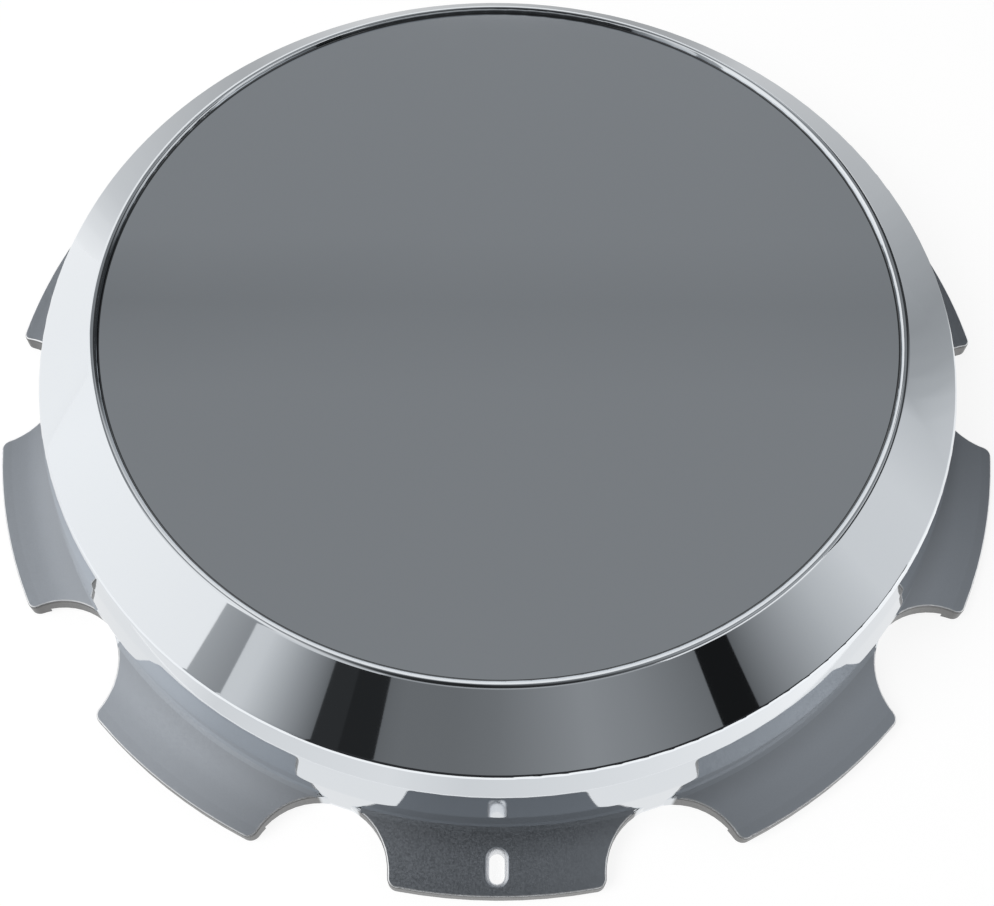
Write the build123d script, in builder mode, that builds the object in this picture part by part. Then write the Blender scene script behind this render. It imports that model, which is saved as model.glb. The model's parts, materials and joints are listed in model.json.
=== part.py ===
from build123d import *
import os
from math import cos, radians, sin, tan

# Push-on wheel centre cap: one plated moulding with a flat face, a raised rim, a conical bevel,
# a flared wall and a scalloped flange whose tabs lie between the lug nuts.
# The axis is Z, the flange seats on the wheel at Z = 0 and the slotted tab points to -Y.

# Wheel that the cap fits (mm)
lug_count = 10
hub_radius = 75.0
hub_to_lug = 37.5
lug_inset = 2.1
scallop_radius = 13.6

# Show side
wall = 2.6
face_overhang = 4.8
rim_rise = 1.0
rim_draft = 0.3
rim_width = 1.1
rim_round = 1.2
rim_inner_round = 0.4
lip_height = 28.9
lip_round = 2.6
bevel_angle = 41.0
shoulder_height = 22.5
shoulder_flare = 13.3
wall_flare = 9.2
band_height = 13.5

# Flange and tabs
tab_reach = 12.2
tab_edge = 3.2
tab_slope = 12.0
seat_width = 3.5
seat_relief = 1.2
tab_corner_round = 2.0
tab_edge_round = 0.6
notch_bite = 0.2
root_bevel = 0.6
inner_round = 0.8

# Slot through the front tab
slot_width = 2.9
slot_length = 5.8
slot_margin = 2.5
slot_edge_round = 1.0

# Spring fingers that grip the hub barrel
finger_count = lug_count
finger_width = 22.0
finger_tip_thickness = 2.2
finger_root_thickness = 3.2
finger_tip_height = 5.0
bead_depth = 0.8
bead_land = 3.0
bead_height = 7.5
rib_thickness = 1.6
rib_spacing = 14.0
rib_drop = 3.0


def meet(start, start_angle, other, other_angle):
    """Point where the line through start meets the line through other, angles in degrees."""
    ux, uz = cos(radians(start_angle)), sin(radians(start_angle))
    vx, vz = cos(radians(other_angle)), sin(radians(other_angle))
    dx, dz = other[0] - start[0], other[1] - start[1]
    travel = (dx * vz - dz * vx) / (ux * vz - uz * vx)
    return (start[0] + travel * ux, start[1] + travel * uz)


def shift(point, angle, distance):
    """Point moved by distance in the direction of angle, in degrees."""
    return (point[0] + distance * cos(radians(angle)), point[1] + distance * sin(radians(angle)))


def corner(sketch, point):
    """Vertex of a section that lies nearest to a named point."""
    return sketch.vertices().sort_by_distance((point[0], point[1], 0))[0]


def shared_edges(faces, other_faces):
    """Edges where a face of one group meets a face of the other."""
    other_edges = other_faces.edges()
    return faces.edges().filter_by(lambda edge: edge in other_edges)


# Directions of the section's slanted lines, as angles from the radial direction
bevel_line = -bevel_angle
shoulder_line = -(90 - shoulder_flare)
wall_line = -(90 - wall_flare)

# Radii and heights that follow from the wheel: the scallops just bite the upright band
scallop_circle_radius = hub_radius + hub_to_lug - lug_inset
band_radius = scallop_circle_radius - scallop_radius + notch_bite
tab_radius = band_radius + tab_reach
root_height = tab_edge + tab_reach * tan(radians(tab_slope))
shoulder_radius = band_radius - (shoulder_height - band_height) * tan(radians(wall_flare))
lip_radius = shoulder_radius - (lip_height - shoulder_height) * tan(radians(shoulder_flare))
face_radius = hub_radius + face_overhang
rim_radius = face_radius + rim_draft + rim_width
rim_height = lip_height + (lip_radius - rim_radius) * tan(radians(bevel_angle))
face_height = rim_height - rim_rise

# Outside of the shell, from the edge of the face to the top of the upright band
face_edge = (face_radius, face_height)
rim_inner = (face_radius + rim_draft, rim_height)
rim_outer = (rim_radius, rim_height)
lip = (lip_radius, lip_height)
shoulder = (shoulder_radius, shoulder_height)
band_top = (band_radius, band_height)

# Inside of the shell, one wall thickness in from the outside
face_under = face_height - wall
bevel_inside = shift(lip, bevel_line - 90, wall)
shoulder_inside = shift(shoulder, shoulder_line - 90, wall)
wall_inside = shift(band_top, wall_line - 90, wall)
band_inside = (band_radius - wall, band_height)
bevel_top_under = meet((0, face_under), 0, bevel_inside, bevel_line)
lip_under = meet(bevel_inside, bevel_line, shoulder_inside, shoulder_line)
shoulder_under = meet(shoulder_inside, shoulder_line, wall_inside, wall_line)
band_under = meet(wall_inside, wall_line, band_inside, 90)

# Ring of spring fingers: the inner faces are round, so that they fit the hub barrel
finger_inside = hub_radius + bead_depth
finger_outside = finger_inside + finger_tip_thickness
finger_root = (finger_inside + finger_root_thickness, face_under + wall / 2)
with BuildPart() as finger_ring:
    with BuildSketch(Plane.XZ):
        with BuildLine():
            Polyline(
                (finger_inside, face_under + wall / 2),
                (finger_inside, bead_height + bead_land / 2 + bead_depth),
                (hub_radius, bead_height + bead_land / 2),
                (hub_radius, bead_height - bead_land / 2),
                (finger_inside, finger_tip_height),
                (finger_outside, finger_tip_height),
                finger_root,
                close=True,
            )
        make_face()
    revolve(axis=Axis.Z)
    with BuildSketch(Plane.XY):
        with PolarLocations(hub_radius, finger_count, start_angle=-90):
            Rectangle(2 * bead_depth + 4 * finger_root_thickness, finger_width)
    extrude(amount=rim_height, mode=Mode.INTERSECT)

# Pair of gussets that tie one finger to the inside of the bevel
rib_start = (finger_inside + finger_outside) / 2
with BuildPart() as rib_pair:
    for side in (-1, 1):
        with BuildSketch(Plane.XZ.offset(side * rib_spacing / 2)):
            with BuildLine():
                Polyline(
                    (rib_start, face_under + wall / 2),
                    shift(bevel_top_under, bevel_line + 90, wall / 2),
                    shift(lip_under, bevel_line + 90, wall / 2),
                    (rib_start, lip_under[1] - rib_drop),
                    close=True,
                )
            make_face()
        extrude(amount=rib_thickness / 2, both=True)

# Scalloped flange: the scallops leave room for the lug nuts and the outer edges seat on the wheel
with BuildPart() as flange:
    with BuildSketch(Plane.XZ):
        with BuildLine():
            Polyline(
                (band_radius - wall, root_height + wall * tan(radians(tab_slope))),
                (tab_radius, tab_edge),
                (tab_radius, 0),
                (tab_radius - seat_width, 0),
                (tab_radius - seat_width, seat_relief),
                (band_radius - wall, seat_relief),
                close=True,
            )
        make_face()
    revolve(axis=Axis.Z)
    with BuildSketch(Plane.XY) as plan:
        Circle(tab_radius)
        with PolarLocations(scallop_circle_radius, lug_count, start_angle=-90 + 180 / lug_count):
            Circle(scallop_radius, mode=Mode.SUBTRACT)
        fillet(plan.vertices(), tab_corner_round)
    extrude(amount=band_height, mode=Mode.INTERSECT)
    outline_faces = flange.faces().filter_by(GeomType.CYLINDER)
    show_faces = flange.faces().filter_by(lambda face: face.normal_at().Z > 0)
    fillet(shared_edges(outline_faces, show_faces), tab_edge_round)

    # Slot through the front tab
    with BuildSketch(Plane.XY):
        with Locations((0, slot_margin + slot_length / 2 - tab_radius)):
            SlotOverall(slot_length, slot_width, rotation=90)
    extrude(amount=root_height, mode=Mode.SUBTRACT)
    slot_walls = flange.faces(Select.LAST)
    tab_tops = flange.faces().filter_by(lambda face: face.normal_at().Z > 0)
    fillet(shared_edges(slot_walls, tab_tops), slot_edge_round)

# Bevel along the root of the tabs, which stops where the rounded edges of the scallops start
with BuildPart() as root_ring:
    with BuildSketch(Plane.XZ):
        with BuildLine():
            Polyline(
                (band_radius - wall / 2, root_height + root_bevel),
                (band_radius, root_height + root_bevel),
                (band_radius + root_bevel, root_height - root_bevel * tan(radians(tab_slope))),
                (band_radius + root_bevel, seat_relief + wall / 2),
                (band_radius - wall / 2, seat_relief + wall / 2),
                close=True,
            )
        make_face()
    revolve(axis=Axis.Z)
    with BuildSketch(Plane.XY):
        with PolarLocations(scallop_circle_radius, lug_count, start_angle=-90 + 180 / lug_count):
            Circle(scallop_radius + tab_edge_round)
    extrude(amount=band_height, mode=Mode.SUBTRACT)

# Shell turned about the wheel's axis
with BuildPart() as centre_cap:
    with BuildSketch(Plane.XZ) as section:
        with BuildLine():
            Polyline(
                (0, face_height),
                face_edge,
                rim_inner,
                rim_outer,
                lip,
                shoulder,
                band_top,
                (band_radius, seat_relief),
                (band_radius - wall, seat_relief),
                band_under,
                shoulder_under,
                lip_under,
                bevel_top_under,
                (0, face_under),
                close=True,
            )
        make_face()
        fillet([corner(section, face_edge), corner(section, rim_inner)], rim_inner_round)
        fillet(corner(section, rim_outer), rim_round)
        fillet(corner(section, lip), lip_round)
        fillet([corner(section, lip_under), corner(section, bevel_top_under)], inner_round)
    revolve(axis=Axis.Z)
    add(flange.part)
    add(root_ring.part)

    # Fingers and gussets behind the face
    add(finger_ring.part)
    with PolarLocations(0, finger_count, start_angle=-90):
        add(rib_pair.part)

export_parts = {"centre_cap": centre_cap}

os.makedirs("parts", exist_ok=True)
for name, piece in export_parts.items():
    piece.part.label = name
    export_step(piece.part, f"parts/{name}.step")
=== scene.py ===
import json
import math

import bpy
from mathutils import Matrix, Vector

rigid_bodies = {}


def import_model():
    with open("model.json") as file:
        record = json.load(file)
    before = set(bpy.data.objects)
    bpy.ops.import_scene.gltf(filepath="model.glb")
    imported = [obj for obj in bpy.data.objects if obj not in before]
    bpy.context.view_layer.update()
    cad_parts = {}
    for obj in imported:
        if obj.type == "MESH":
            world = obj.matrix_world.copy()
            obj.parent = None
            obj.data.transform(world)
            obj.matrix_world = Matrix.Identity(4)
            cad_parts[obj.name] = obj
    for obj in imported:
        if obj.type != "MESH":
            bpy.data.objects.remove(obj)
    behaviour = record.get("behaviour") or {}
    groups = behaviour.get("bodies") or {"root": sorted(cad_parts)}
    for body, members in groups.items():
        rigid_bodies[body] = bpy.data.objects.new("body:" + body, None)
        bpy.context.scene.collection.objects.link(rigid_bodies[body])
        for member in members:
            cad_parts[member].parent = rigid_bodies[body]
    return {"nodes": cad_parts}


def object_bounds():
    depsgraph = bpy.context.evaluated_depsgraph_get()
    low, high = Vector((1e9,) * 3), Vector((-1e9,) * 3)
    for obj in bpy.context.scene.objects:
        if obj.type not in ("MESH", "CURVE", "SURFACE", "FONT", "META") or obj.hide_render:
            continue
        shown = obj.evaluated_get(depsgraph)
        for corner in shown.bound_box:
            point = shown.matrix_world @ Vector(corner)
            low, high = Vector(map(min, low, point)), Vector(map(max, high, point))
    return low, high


for thing in list(bpy.data.objects):
    bpy.data.objects.remove(thing)
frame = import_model()
cad_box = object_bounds()
cap = frame["nodes"]["centre_cap"]
scene = bpy.context.scene
scene.view_settings.view_transform = "Standard"


def round_centre(corner, radius, first, second):
    """Centre of a round between two slopes, from the angles of their normals.

    A negative radius gives the centre of a hollow.
    """
    share = radius / (1 + math.cos(first - second))
    return (
        corner[0] - share * (math.cos(first) + math.cos(second)),
        corner[1] - share * (math.sin(first) + math.sin(second)),
    )


# Cap, in metres: the outer radius and the height come from the frame
TAB_RADIUS = cad_box[1][1]
RIM_HEIGHT = cad_box[1][2]
TAB_REACH = 0.0122
TAB_EDGE = 0.0032
TAB_SLOPE = math.tan(math.radians(12))
BAND_HEIGHT = 0.0135
SHOULDER_HEIGHT = 0.0225
LIP_HEIGHT = 0.0289
LIP_ROUND = 0.0026
FACE_RADIUS = 0.0798
RIM_RISE = 0.0010
RIM_DRAFT = 0.0003
RIM_INNER_ROUND = 0.0004
ROOT_BEVEL = 0.0006
LUG_ANGLE = math.radians(36)

# Angles of the shell's normals above the radial direction
UPRIGHT = math.pi / 2
BEVEL_NORMAL = math.radians(49.0)
SHOULDER_NORMAL = math.radians(13.3)
WALL_NORMAL = math.radians(9.2)
RIM_INNER_NORMAL = math.atan2(RIM_DRAFT, RIM_RISE)

# Sizes that follow
BAND_RADIUS = TAB_RADIUS - TAB_REACH
SHOULDER_RADIUS = BAND_RADIUS - (SHOULDER_HEIGHT - BAND_HEIGHT) * math.tan(WALL_NORMAL)
LIP_RADIUS = SHOULDER_RADIUS - (LIP_HEIGHT - SHOULDER_HEIGHT) * math.tan(SHOULDER_NORMAL)
BEVEL_SLOPE = 1 / math.tan(BEVEL_NORMAL)
WALL_SLOPE = (BAND_RADIUS - LIP_RADIUS) / (LIP_HEIGHT - BAND_HEIGHT)
FACE_HEIGHT = RIM_HEIGHT - RIM_RISE
LIP_CENTRE = round_centre((LIP_RADIUS, LIP_HEIGHT), LIP_ROUND, BEVEL_NORMAL, SHOULDER_NORMAL)
RIM_FOOT_CENTRE = round_centre(
    (FACE_RADIUS, FACE_HEIGHT), -RIM_INNER_ROUND, UPRIGHT, math.pi - RIM_INNER_NORMAL
)

# Shading of the forms: the rim as a bead by (radius, normal's angle), hollow tabs, soft breaks in the wall
RIM_BEAD = (
    (FACE_RADIUS + 0.00015, math.radians(155)),
    (FACE_RADIUS + 0.00088, math.radians(106)),
    (FACE_RADIUS + 0.00105, math.radians(76)),
    (FACE_RADIUS + 0.00174, BEVEL_NORMAL),
)
TAB_ROOT_TILT = math.radians(16.5)
TAB_EDGE_TILT = math.radians(9.0)
SHOULDER_BREAK = (SHOULDER_HEIGHT - 0.0015, SHOULDER_HEIGHT + 0.0015)
BAND_BREAK = (BAND_HEIGHT - 0.0008, BAND_HEIGHT + 0.0008)

# Zones of the plating: the depth of the shell's outside, then limits of radius, height, angle, x and y
MESH_TOLERANCE = 0.00006
SHELL_DEPTH = 0.0013
SHELL_END = (BAND_RADIUS + 0.0003, BAND_RADIUS + 0.0006)
ROOT_SLACK = 0.0001
ROOT_TOP = TAB_EDGE + TAB_REACH * TAB_SLOPE + ROOT_BEVEL + ROOT_SLACK
ROOT_RADII = (BAND_RADIUS - MESH_TOLERANCE, BAND_RADIUS + ROOT_BEVEL + ROOT_SLACK)
ROOT_HEIGHTS = (ROOT_TOP - 2 * ROOT_BEVEL, ROOT_TOP)
NOTCH_HALF_ANGLE = math.radians(2.6)
SLOT_X = (-0.0034, 0.0034)
SLOT_Y = (0.0010 - TAB_RADIUS, 0.0096 - TAB_RADIUS)
# Radii of the dark line at the rim's foot, which is painted shade
RIM_FOOT_SHADE_LINE = (FACE_RADIUS - 0.0003, FACE_RADIUS + 0.00006)
TAB_MARGIN = (TAB_RADIUS - 0.0025, TAB_RADIUS - 0.0021)
ROOT_SHADE = (BAND_RADIUS, BAND_RADIUS + 0.006)

# Depths below a tab's sloping top at which its edges start and end: the slot's edge, the painted highlight
# along the top edge and the painted shade on the sides
TAB_TOP = (-0.00004, 0.00004)
SLOT_EDGE_START = (0.00005, 0.00025)
EDGE_HIGHLIGHT_START = (0.00002, 0.00005)
EDGE_HIGHLIGHT_END = (0.00014, 0.00022)
SIDE_SHADE_START = (0.00014, 0.00025)

# Tints of the plating, and shares of the tabs' tint: a painted shade at their root, and a little darker
# along their margin
MIRROR_TINT = (0.775, 0.805, 0.836, 1)
SATIN_TINTS = ((0.515, 0.55, 0.595, 1), (0.585, 0.62, 0.67, 1))
SLOT_EDGE_TINT = (0.92, 0.93, 0.95, 1)
# Light line along the tabs' top edge: a painted highlight
EDGE_HIGHLIGHT_TINT = (0.95, 0.96, 0.97, 1)
# Dark sides of the tabs: painted shade
SIDE_SHADE_TINT = (0.19, 0.188, 0.186, 1)
ROOT_TINT = (0.50, 0.535, 0.58, 1)
# Dark line at the rim's foot: painted shade
RIM_FOOT_SHADE_TINT = (0.12, 0.125, 0.13, 1)
ROOT_SHADE_SHARE = 0.8
MARGIN_SHARE = 0.96

# Grain of the satin and faint clouds in the mirror, as (scale, detail, roughness) of the noise
GRAIN = (2600.0, 2.0, 0.6)
CLOUDS = (38.0, 3.0, 0.55)
NOISE_LIMITS = (0.3, 0.7)
SATIN_ROUGHNESS = (0.30, 0.40)
MIRROR_ROUGHNESS = (0.03, 0.045)
SLOT_EDGE_ROUGHNESS = 0.45
GRAIN_DEPTH = 0.00002
GRAIN_STRENGTH = 0.25

# Studio round the cap, lengths in metres
FLOOR_HALF_WIDTH = 3.0
FLOOR_HEIGHT = -0.0002
FLOOR_COLOUR = (0.2, 0.2, 0.2, 1)
FLOOR_GLOW = 0.86
TENT_RADIUS = 1.0
TENT_HEIGHT = 0.9
SKIRTING_RADIUS = 0.99
WALL_TOP_START = 0.54
FLOOR_CARD_HEIGHT = 0.0004
FLOOR_CARD_START = TAB_RADIUS + 0.0028
BACK_FLOOR_CARD_END = 0.25
FRONT_FLOOR_CARD_END = 0.15
MIDDLE_FLOOR_CARD_END = 0.42
NOTCH_FLOOR_CARD_HEIGHT = -0.0001
NOTCH_FLOOR_CARD_START = BAND_RADIUS + 0.0005
CARD_COOLNESS = 0.05
DEGREES_PER_STEP = 2.0
WORLD_LIGHT = 0.35
LAMP_SIZE = 0.9
LAMP_POWER = 9.0
LAMP_PLACE = (-0.75, -0.35, 1.0)
LAMP_AIM = (0, 0, 0.02)

# Camera: pixels of the photograph, angles, and lengths in lip radii from the middle of the lip
PHOTO_WIDTH = 994
FOCAL_PIXELS = 1354.79
ELEVATION = math.radians(61.3743)
ROLL = math.radians(1.2012)
SPIN = math.radians(0.9342)
DISTANCE = 2.987
SHIFT = (-0.0051, -0.274)
SENSOR_WIDTH = 36
CLIP_START = 0.005


def node(tree, kind, **settings):
    """One shader node with its properties set."""
    made = tree.nodes.new(kind)
    for name, value in settings.items():
        setattr(made, name, value)
    return made


def connect(tree, value, socket):
    """Give an input a link from another socket, or a plain value."""
    if isinstance(value, bpy.types.NodeSocket):
        tree.links.new(value, socket)
    else:
        socket.default_value = value


def maths(tree, operation, *values):
    """Math node on sockets or plain numbers, returning its output socket."""
    made = node(tree, "ShaderNodeMath", operation=operation)
    for value, socket in zip(values, made.inputs):
        connect(tree, value, socket)
    return made.outputs[0]


def ramp(tree, value, limits, results=(0.0, 1.0), curve="SMOOTHSTEP"):
    """Number that goes from one result to the other while the value crosses the limits."""
    made = node(tree, "ShaderNodeMapRange", interpolation_type=curve)
    for name, number in zip(("From Min", "From Max", "To Min", "To Max"), (*limits, *results)):
        made.inputs[name].default_value = number
    tree.links.new(value, made.inputs["Value"])
    return made.outputs["Result"]


def blend(tree, kind, factor, first, second, blend_type="MIX"):
    """Mix node between two numbers, colours or vectors, returning its output socket."""
    made = node(tree, "ShaderNodeMix", data_type=kind, blend_type=blend_type)
    for name, value in (("Factor", factor), ("A", first), ("B", second)):
        connect(tree, value, made.inputs[name])
    return made.outputs["Result"]


def noise(tree, where, scale, detail, roughness):
    """Noise in the object's own space, returning its strength."""
    made = node(tree, "ShaderNodeTexNoise")
    for name, value in (("Vector", where), ("Scale", scale), ("Detail", detail), ("Roughness", roughness)):
        connect(tree, value, made.inputs[name])
    return made.outputs["Fac"]


def clamp(tree, value, low, high):
    """Value held between two limits."""
    return maths(tree, "MINIMUM", maths(tree, "MAXIMUM", value, low), high)


def all_of(tree, *masks):
    """Mask that is 1 where all the masks are."""
    result = masks[0]
    for mask in masks[1:]:
        result = maths(tree, "MULTIPLY", result, mask)
    return result


def opposite(tree, mask):
    """Mask that is 1 where the other is 0."""
    return maths(tree, "SUBTRACT", 1.0, mask)


def between(tree, value, limits):
    """Mask that is 1 where the value lies between two limits."""
    above = maths(tree, "GREATER_THAN", value, limits[0])
    return all_of(tree, above, maths(tree, "LESS_THAN", value, limits[1]))


def follow(tree, value, stops):
    """Number that follows the value through (value, number) stops, on straight lines between them."""
    result = stops[0][1]
    for (start, low), (end, high) in zip(stops, stops[1:]):
        rise = ramp(tree, value, (start, end), (0.0, high - low), "LINEAR")
        result = maths(tree, "ADD", rise, result)
    return result


def leaning_normal(tree, x, y, radius, angle):
    """Unit vector in the plane through the axis, at an angle above the radial direction."""
    spread = maths(tree, "DIVIDE", maths(tree, "COSINE", angle), radius)
    normal = node(tree, "ShaderNodeCombineXYZ")
    tree.links.new(maths(tree, "MULTIPLY", x, spread), normal.inputs[0])
    tree.links.new(maths(tree, "MULTIPLY", y, spread), normal.inputs[1])
    tree.links.new(maths(tree, "SINE", angle), normal.inputs[2])
    return normal.outputs[0]


def turned_normal(tree, x, y, z, radius):
    """Normal of the turned shell's outside, from the radius and the height."""
    # Lip: the place along the chord of its round gives the angle, so that the facets over it show less
    middle = (BEVEL_NORMAL + SHOULDER_NORMAL) / 2
    half = math.sin((BEVEL_NORMAL - SHOULDER_NORMAL) / 2)
    rise = maths(tree, "SUBTRACT", z, LIP_CENTRE[1])
    rise = maths(tree, "MULTIPLY", rise, math.cos(middle) / LIP_ROUND)
    run = maths(tree, "SUBTRACT", radius, LIP_CENTRE[0])
    run = maths(tree, "MULTIPLY", run, math.sin(middle) / LIP_ROUND)
    lean = clamp(tree, maths(tree, "SUBTRACT", rise, run), -half, half)
    angle = maths(tree, "ADD", maths(tree, "ARCSINE", lean), middle)

    # Rim: a bead that turns over from its inner side to the bevel, with a hollow at its foot
    bead = follow(tree, radius, RIM_BEAD)
    angle = blend(tree, "FLOAT", maths(tree, "LESS_THAN", radius, RIM_BEAD[-1][0]), angle, bead)
    foot_rise = maths(tree, "SUBTRACT", RIM_FOOT_CENTRE[1], z)
    foot_run = maths(tree, "SUBTRACT", radius, RIM_FOOT_CENTRE[0])
    foot = clamp(tree, maths(tree, "ARCTAN2", foot_rise, foot_run), RIM_INNER_NORMAL, UPRIGHT)
    foot = maths(tree, "SUBTRACT", math.pi, foot)
    angle = blend(tree, "FLOAT", maths(tree, "LESS_THAN", radius, RIM_BEAD[0][0]), angle, foot)

    # Wall below the shoulder and the upright band
    angle = blend(tree, "FLOAT", ramp(tree, z, SHOULDER_BREAK), WALL_NORMAL, angle)
    angle = blend(tree, "FLOAT", ramp(tree, z, BAND_BREAK), 0.0, angle)
    return leaning_normal(tree, x, y, radius, angle)


def dished_normal(tree, x, y, radius):
    """Normal of a tab's top, a little hollow: steeper at the root than at the edge."""
    near_root = ramp(tree, radius, (BAND_RADIUS, TAB_RADIUS), (1.0, 0.0))
    tilt = blend(tree, "FLOAT", maths(tree, "MULTIPLY", near_root, near_root), TAB_EDGE_TILT, TAB_ROOT_TILT)
    return leaning_normal(tree, x, y, radius, maths(tree, "SUBTRACT", UPRIGHT, tilt))


def shell_mask(tree, z, radius):
    """Outside of the shell: close under the face or the bevel, or close inside the wall's outer line."""
    past_lip = maths(tree, "SUBTRACT", radius, LIP_RADIUS)
    bevel = maths(tree, "SUBTRACT", LIP_HEIGHT, maths(tree, "MULTIPLY", past_lip, BEVEL_SLOPE))
    depth = maths(tree, "SUBTRACT", maths(tree, "MINIMUM", FACE_HEIGHT, bevel), z)
    under_lip = maths(tree, "SUBTRACT", LIP_HEIGHT, z)
    wall_line = maths(tree, "ADD", LIP_RADIUS, maths(tree, "MULTIPLY", under_lip, WALL_SLOPE))
    inside = maths(tree, "SUBTRACT", maths(tree, "MINIMUM", BAND_RADIUS, wall_line), radius)
    on_top = maths(tree, "LESS_THAN", depth, SHELL_DEPTH)
    on_wall = maths(tree, "LESS_THAN", inside, SHELL_DEPTH)
    return all_of(tree, ramp(tree, radius, SHELL_END, (1.0, 0.0)), maths(tree, "MAXIMUM", on_top, on_wall))


def root_mask(tree, x, y, z, radius):
    """Bevel along the root of the tabs, between the notches."""
    from_notch = maths(tree, "PINGPONG", maths(tree, "ARCTAN2", y, x), LUG_ANGLE / 2)
    off_notch = maths(tree, "GREATER_THAN", from_notch, NOTCH_HALF_ANGLE)
    return all_of(tree, off_notch, between(tree, radius, ROOT_RADII), between(tree, z, ROOT_HEIGHTS))


def depth_below_tab(tree, z, radius):
    """Depth below the sloping tops of the tabs."""
    from_edge = maths(tree, "SUBTRACT", TAB_RADIUS, radius)
    tab_top = maths(tree, "ADD", TAB_EDGE, maths(tree, "MULTIPLY", from_edge, TAB_SLOPE))
    return maths(tree, "SUBTRACT", tab_top, z)


def plating():
    """Chrome on moulded plastic: a mirror on the shell, satin with a grain on the flange and behind."""
    material = bpy.data.materials.new("plated_chrome")
    material.use_nodes = True
    tree = material.node_tree
    shader = tree.nodes["Principled BSDF"]
    shader.inputs["Metallic"].default_value = 1.0
    where = node(tree, "ShaderNodeTexCoord").outputs["Object"]
    place = node(tree, "ShaderNodeSeparateXYZ")
    tree.links.new(where, place.inputs[0])
    x, y, z = place.outputs
    squares = maths(tree, "ADD", maths(tree, "MULTIPLY", x, x), maths(tree, "MULTIPLY", y, y))
    radius = maths(tree, "SQRT", squares)

    # Zones: the mirror, the root of the tabs, the slot's edge, a painted highlight on the tabs' top edges,
    # painted shade on their sides and a painted line of shade at the rim's foot
    root = root_mask(tree, x, y, z, radius)
    mirror = all_of(tree, shell_mask(tree, z, radius), opposite(tree, root))
    below_tab = depth_below_tab(tree, z, radius)
    in_slot = all_of(tree, between(tree, x, SLOT_X), between(tree, y, SLOT_Y))
    off_slot = opposite(tree, in_slot)
    slot_edge = all_of(tree, ramp(tree, below_tab, SLOT_EDGE_START), in_slot)
    # Light line along the tabs' top edge: a painted highlight
    highlight_start = ramp(tree, below_tab, EDGE_HIGHLIGHT_START)
    highlight_end = ramp(tree, below_tab, EDGE_HIGHLIGHT_END, (1.0, 0.0))
    painted_edge_highlight = all_of(tree, highlight_start, highlight_end, off_slot)
    # Dark sides of the tabs: painted shade
    side = all_of(tree, ramp(tree, below_tab, SIDE_SHADE_START), off_slot)
    # Dark line at the rim's foot: painted shade in the hollow
    rim_foot_shade = all_of(tree, between(tree, radius, RIM_FOOT_SHADE_LINE), mirror)

    # Roughness, with the grain of the satin and the clouds of the mirror
    grain = noise(tree, where, *GRAIN)
    clouds = noise(tree, where, *CLOUDS)
    satin_rough = ramp(tree, grain, NOISE_LIMITS, SATIN_ROUGHNESS)
    mirror_rough = ramp(tree, clouds, NOISE_LIMITS, MIRROR_ROUGHNESS)
    flange_rough = blend(tree, "FLOAT", slot_edge, satin_rough, SLOT_EDGE_ROUGHNESS)
    tree.links.new(blend(tree, "FLOAT", mirror, flange_rough, mirror_rough), shader.inputs["Roughness"])

    # Tint: the flange with its edges, painted highlight and painted shade first, then the mirror, the root
    # and the painted line of shade at the rim's foot over it
    tint = blend(tree, "RGBA", grain, *SATIN_TINTS)
    for mask, painted in ((slot_edge, SLOT_EDGE_TINT), (painted_edge_highlight, EDGE_HIGHLIGHT_TINT), (side, SIDE_SHADE_TINT)):
        tint = blend(tree, "RGBA", mask, tint, painted)
    margin_shade = ramp(tree, radius, TAB_MARGIN, (1.0, MARGIN_SHARE))
    # Tabs darker towards their root: painted shade in the hollow
    root_shade = ramp(tree, radius, ROOT_SHADE, (ROOT_SHADE_SHARE, 1.0))
    tint = blend(tree, "RGBA", 1.0, tint, maths(tree, "MULTIPLY", margin_shade, root_shade), "MULTIPLY")
    for mask, painted in ((mirror, MIRROR_TINT), (root, ROOT_TINT), (rim_foot_shade, RIM_FOOT_SHADE_TINT)):
        tint = blend(tree, "RGBA", mask, tint, painted)
    tree.links.new(tint, shader.inputs["Base Color"])

    # Normals: the exact profile on the shell, hollow tabs, the mesh elsewhere and the grain on the satin
    turned = all_of(tree, mirror, maths(tree, "GREATER_THAN", z, ROOT_TOP))
    past_root = maths(tree, "GREATER_THAN", radius, BAND_RADIUS + ROOT_BEVEL)
    on_tab = maths(tree, "MAXIMUM", all_of(tree, between(tree, below_tab, TAB_TOP), past_root), root)
    normal = node(tree, "ShaderNodeNewGeometry").outputs["Normal"]
    normal = blend(tree, "VECTOR", turned, normal, turned_normal(tree, x, y, z, radius))
    normal = blend(tree, "VECTOR", on_tab, normal, dished_normal(tree, x, y, radius))
    bump = node(tree, "ShaderNodeBump")
    bump.inputs["Distance"].default_value = GRAIN_DEPTH
    tree.links.new(normal, bump.inputs["Normal"])
    tree.links.new(grain, bump.inputs["Height"])
    tree.links.new(blend(tree, "FLOAT", mirror, GRAIN_STRENGTH, 0.0), bump.inputs["Strength"])
    tree.links.new(bump.outputs[0], shader.inputs["Normal"])
    return material


cap.data.materials.clear()
cap.data.materials.append(plating())

# Floor
floor_corners = [(-1, -1), (1, -1), (1, 1), (-1, 1)]
floor_mesh = bpy.data.meshes.new("floor")
floor_mesh.from_pydata(
    [(FLOOR_HALF_WIDTH * x, FLOOR_HALF_WIDTH * y, 0) for x, y in floor_corners], [], [(0, 1, 2, 3)]
)
floor = bpy.data.objects.new("floor", floor_mesh)
scene.collection.objects.link(floor)
floor.location.z = FLOOR_HEIGHT
floor_material = bpy.data.materials.new("floor_white")
floor_material.use_nodes = True
floor_shader = floor_material.node_tree.nodes["Principled BSDF"]
floor_shader.inputs["Base Color"].default_value = FLOOR_COLOUR
floor_shader.inputs["Roughness"].default_value = 1.0
floor_shader.inputs["Specular IOR Level"].default_value = 0.0
floor_shader.inputs["Emission Color"].default_value = (1, 1, 1, 1)
floor_shader.inputs["Emission Strength"].default_value = FLOOR_GLOW
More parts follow.
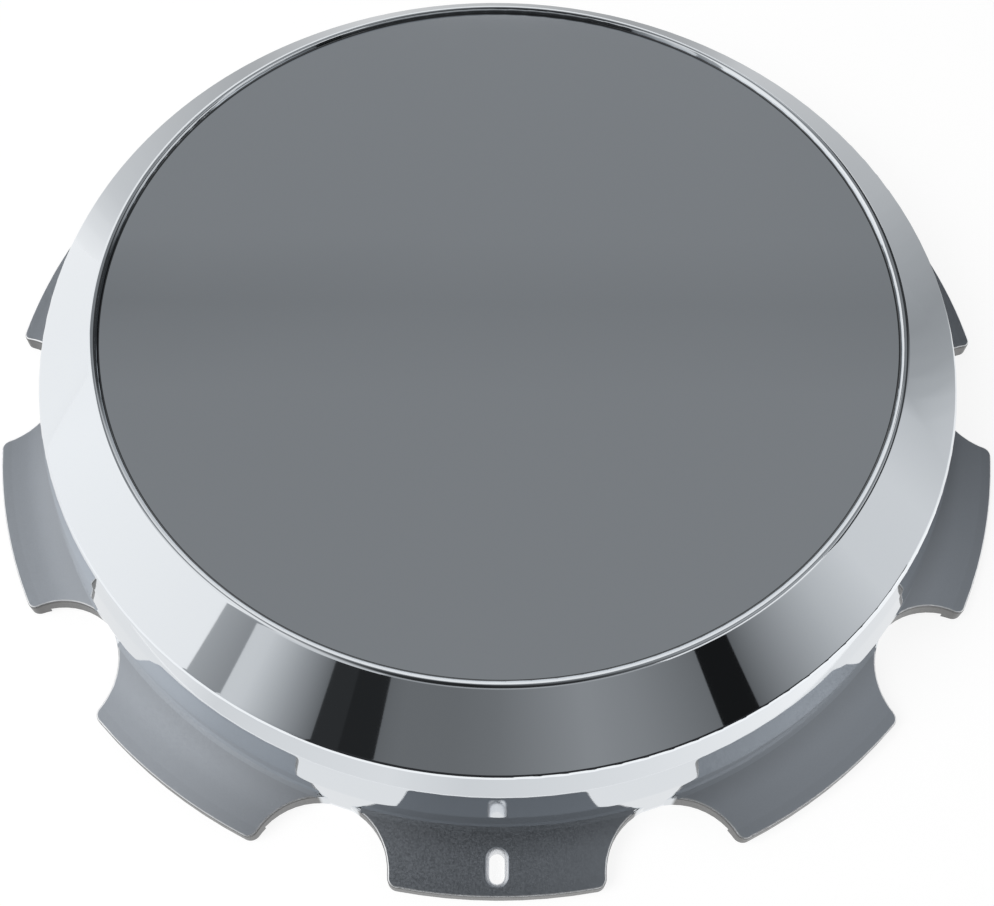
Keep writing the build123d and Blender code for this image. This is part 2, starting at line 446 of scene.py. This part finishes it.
floor.data.materials.append(floor_material)


def glow(name):
    """Material that glows with the colours painted on a card."""
    material = bpy.data.materials.new(name)
    material.use_nodes = True
    tree = material.node_tree
    tree.nodes.clear()
    out = node(tree, "ShaderNodeOutputMaterial")
    light = node(tree, "ShaderNodeEmission")
    paint = node(tree, "ShaderNodeAttribute", attribute_name="brightness")
    tree.links.new(paint.outputs["Color"], light.inputs["Color"])
    tree.links.new(light.outputs[0], out.inputs[0])
    return material


card_glow = glow("card_glow")


def card(name, points, faces, shades):
    """Reflection card: seen in the plating, not by the camera, with no shadow and no light on the floor."""
    mesh = bpy.data.meshes.new(name)
    mesh.from_pydata(points, [], faces)
    paint = mesh.color_attributes.new("brightness", "FLOAT_COLOR", "POINT")
    for item, shade in zip(paint.data, shades):
        cool = CARD_COOLNESS * max(0.0, 1.0 - shade)
        item.color = (shade * (1 - cool), shade, shade * (1 + cool), 1)
    made = bpy.data.objects.new(name, mesh)
    scene.collection.objects.link(made)
    mesh.materials.append(card_glow)
    made.visible_camera = False
    made.visible_shadow = False
    made.visible_diffuse = False


def shade_at(stops, angle):
    """Brightness at an angle, between stops given as (angle, brightness)."""
    for (start, low), (end, high) in zip(stops, stops[1:]):
        if start <= angle <= end:
            return low + (high - low) * (angle - start) / (end - start)
    return stops[-1][1]


def arc_card(name, stops, inner, outer):
    """Card round the axis, from an inner to an outer (radius, height).

    The stops are (angle, brightness), in degrees from +X, with 270 towards the camera.
    """
    first, last = stops[0][0], stops[-1][0]
    columns = max(2, round((last - first) / DEGREES_PER_STEP) + 1)
    points, shades, faces = [], [], []
    for column in range(columns):
        angle = first + (last - first) * column / (columns - 1)
        across, along = math.cos(math.radians(angle)), math.sin(math.radians(angle))
        for radius, height in (inner, outer):
            points.append((radius * across, radius * along, height))
            shades.append(shade_at(stops, angle))
    for column in range(columns - 1):
        corner = 2 * column
        faces.append((corner, corner + 1, corner + 3, corner + 2))
    card(name, points, faces, shades)


def wall_card(name, stops):
    """Card that stands round the set, from the floor to the ceiling."""
    arc_card(name, stops, (TENT_RADIUS, 0.0), (TENT_RADIUS, TENT_HEIGHT))


def band_card(name, stops, low, high):
    """Card close in front of the walls, between two heights."""
    arc_card(name, stops, (SKIRTING_RADIUS, low), (SKIRTING_RADIUS, high))


def floor_card(name, stops, start, end):
    """Card on the floor, between two radii."""
    arc_card(name, stops, (start, FLOOR_CARD_HEIGHT), (end, FLOOR_CARD_HEIGHT))


# White on the left, dark with two posts on the camera's side, grey on the right, pale behind
wall_card("left_wall", [(118, 0.95), (140, 1.0), (170, 1.06), (212.7, 0.98)])
wall_card("left_strip", [(212.7, 0.42), (219.7, 0.30)])
wall_card("left_front_wall", [(219.7, 0.70), (223, 0.70), (231, 0.36), (237, 0.15)])
wall_card("left_post", [(237, 0.03), (242, 0.03)])
wall_card("left_post_side", [(242, 0.02), (248.5, 0.02)])
wall_card(
    "front_panel",
    [(248.5, 0.15), (252, 0.17), (262, 0.17), (270, 0.19), (287.5, 0.30), (297, 0.26), (310.8, 0.17)],
)
wall_card("right_post", [(310.8, 0.01), (317.8, 0.01)])
wall_card(
    "right_wall",
    [(317.8, 0.13), (336, 0.55), (346, 0.73), (361, 0.75), (372.5, 0.62), (376.6, 0.42)],
)
wall_card("right_back_wall", [(16.6, 0.42), (22, 0.25), (28, 0.04), (52, 0.04), (58, 0.3)])
wall_card("back_wall", [(58, 0.4), (75, 0.9), (90, 0.95), (108, 0.9), (118, 0.95)])

# Dark skirting in front, lower towards the right
for first, last, height in ((237, 311, 0.29), (311, 326, 0.20), (326, 340, 0.14), (340, 352, 0.08)):
    band_card("skirting", [(first, 0.03), (last, 0.03)], low=0.0, high=height)

# Lighter tops of the walls on the camera's side
for name, stops in (
    ("left_top", [(219, 0.75), (246, 0.6)]),
    ("front_top", [(246, 0.35), (306, 0.4)]),
    ("right_top", [(306, 0.9), (347, 1.0)]),
):
    band_card(name, stops, low=WALL_TOP_START, high=TENT_HEIGHT)

# Dark bands on the walls, on the right and at the back on the left
band_card("right_shade", [(347, 0.05), (388, 0.05)], low=0.36, high=0.74)
band_card("left_shade", [(118, 0.2), (152, 0.25)], low=0.4, high=TENT_HEIGHT)

# Ceiling over the set, rows from the camera's side to the back: (y, shades from left to right)
CEILING_COLUMNS = (-1.0, -0.5, -0.3, -0.05, 0.25, 0.5, 1.0)
CEILING_ROWS = (
    (-1.0, (0.90, 0.45, 0.03, 0.03, 0.03, 0.03, 0.03)),
    (-0.5, (0.95, 0.70, 0.03, 0.02, 0.03, 0.14, 0.10)),
    (-0.36, (0.90, 0.90, 0.06, 0.02, 0.09, 0.32, 0.18)),
    (-0.22, (0.95, 0.95, 0.12, 0.02, 0.24, 0.42, 0.30)),
    (-0.1, (0.95, 0.95, 0.18, 0.02, 0.30, 0.42, 0.34)),
    (0.1, (0.65, 0.65, 0.28, 0.12, 0.28, 0.32, 0.36)),
    (0.2, (0.25, 0.25, 0.25, 0.25, 0.25, 0.26, 0.36)),
    (0.5, (0.25, 0.25, 0.25, 0.25, 0.25, 0.25, 0.32)),
    (0.6, (0.20, 0.20, 0.22, 0.23, 0.23, 0.22, 0.21)),
    (0.68, (0.25, 0.25, 0.25, 0.25, 0.25, 0.24, 0.24)),
    (1.0, (0.26, 0.26, 0.26, 0.26, 0.26, 0.25, 0.25)),
)
ceiling_points = []
ceiling_shades = []
for y, row_shades in CEILING_ROWS:
    for x, shade in zip(CEILING_COLUMNS, row_shades):
        ceiling_points.append((x, y, TENT_HEIGHT))
        ceiling_shades.append(shade)
row_length = len(CEILING_COLUMNS)
ceiling_faces = []
for row in range(len(CEILING_ROWS) - 1):
    for column in range(row_length - 1):
        near = row * row_length + column
        far = near + row_length
        ceiling_faces.append((near, near + 1, far + 1, far))
card("ceiling", ceiling_points, ceiling_faces, ceiling_shades)

# Cards on the floor, seen only in the plating: grey behind and on the right as painted shade of the floor
# round the cap, pale in front and dark farther off
floor_card(
    "floor_back",
    [
        (12.5, 0.63), (16.6, 0.42), (22, 0.34), (36, 0.51), (58, 0.6), (66, 0.43),
        (74, 0.38), (106, 0.65), (122, 0.44), (144, 0.66), (151, 1.0),
    ],
    FLOOR_CARD_START,
    BACK_FLOOR_CARD_END,
)
floor_card(
    "floor_right",
    [(-5, 0.75), (1, 0.75), (12.5, 0.63), (16.6, 0.42), (22, 0.34), (40, 0.6)],
    BACK_FLOOR_CARD_END,
    TENT_RADIUS,
)
floor_card(
    "floor_front",
    [
        (192, 0.95), (226, 0.9), (232, 0.78), (256, 0.86), (266, 0.76),
        (275, 0.8), (300, 0.95), (320, 1.1), (346, 1.1),
    ],
    FLOOR_CARD_START,
    FRONT_FLOOR_CARD_END,
)
arc_card(
    "floor_notches",
    [(0, 0.88), (360, 0.88)],
    (NOTCH_FLOOR_CARD_START, NOTCH_FLOOR_CARD_HEIGHT),
    (FLOOR_CARD_START, NOTCH_FLOOR_CARD_HEIGHT),
)
floor_card("floor_front_middle", [(192, 1.1), (346, 1.15)], FRONT_FLOOR_CARD_END, MIDDLE_FLOOR_CARD_END)
floor_card("floor_front_far", [(235, 0.03), (350, 0.03)], MIDDLE_FLOOR_CARD_END, TENT_RADIUS)

# World: white to the camera and in reflections, weaker as a light
world = bpy.data.worlds.new("studio")
scene.world = world
world.use_nodes = True
world_tree = world.node_tree
background = world_tree.nodes["Background"]
background.inputs["Color"].default_value = (1, 1, 1, 1)
rays = node(world_tree, "ShaderNodeLightPath")
seen = maths(world_tree, "MAXIMUM", rays.outputs["Is Camera Ray"], rays.outputs["Is Glossy Ray"])
seen = maths(world_tree, "MAXIMUM", seen, rays.outputs["Is Transmission Ray"])
world_tree.links.new(blend(world_tree, "FLOAT", seen, WORLD_LIGHT, 1.0), background.inputs["Strength"])

# Soft key lamp from the left
lamp_data = bpy.data.lights.new("key", "AREA")
lamp_data.shape = "DISK"
lamp_data.size = LAMP_SIZE
lamp_data.energy = LAMP_POWER
lamp = bpy.data.objects.new("key", lamp_data)
scene.collection.objects.link(lamp)
lamp.location = LAMP_PLACE
lamp.rotation_mode = "QUATERNION"
lamp.rotation_quaternion = (lamp.location - Vector(LAMP_AIM)).to_track_quat("Z", "Y")
lamp.visible_glossy = False

# Camera at the photograph's place
back = Vector((0, -math.cos(ELEVATION), math.sin(ELEVATION)))
right = Vector((1, 0, 0))
up = back.cross(right)
across = math.cos(ROLL) * right + math.sin(ROLL) * up
upward = -math.sin(ROLL) * right + math.cos(ROLL) * up
from_lip = DISTANCE * back + SHIFT[0] * across + SHIFT[1] * upward
eye = Vector((0, 0, LIP_HEIGHT)) + LIP_RADIUS * from_lip
turn = Matrix.Rotation(-SPIN, 4, "Z")
axes = Matrix((across, upward, back)).transposed().to_4x4()
camera_data = bpy.data.cameras.new("camera")
camera = bpy.data.objects.new("camera", camera_data)
scene.collection.objects.link(camera)
camera_data.sensor_fit = "HORIZONTAL"
camera_data.sensor_width = SENSOR_WIDTH
camera_data.lens = SENSOR_WIDTH * FOCAL_PIXELS / PHOTO_WIDTH
camera_data.clip_start = CLIP_START
camera.matrix_world = turn @ Matrix.Translation(eye) @ axes
scene.camera = camera
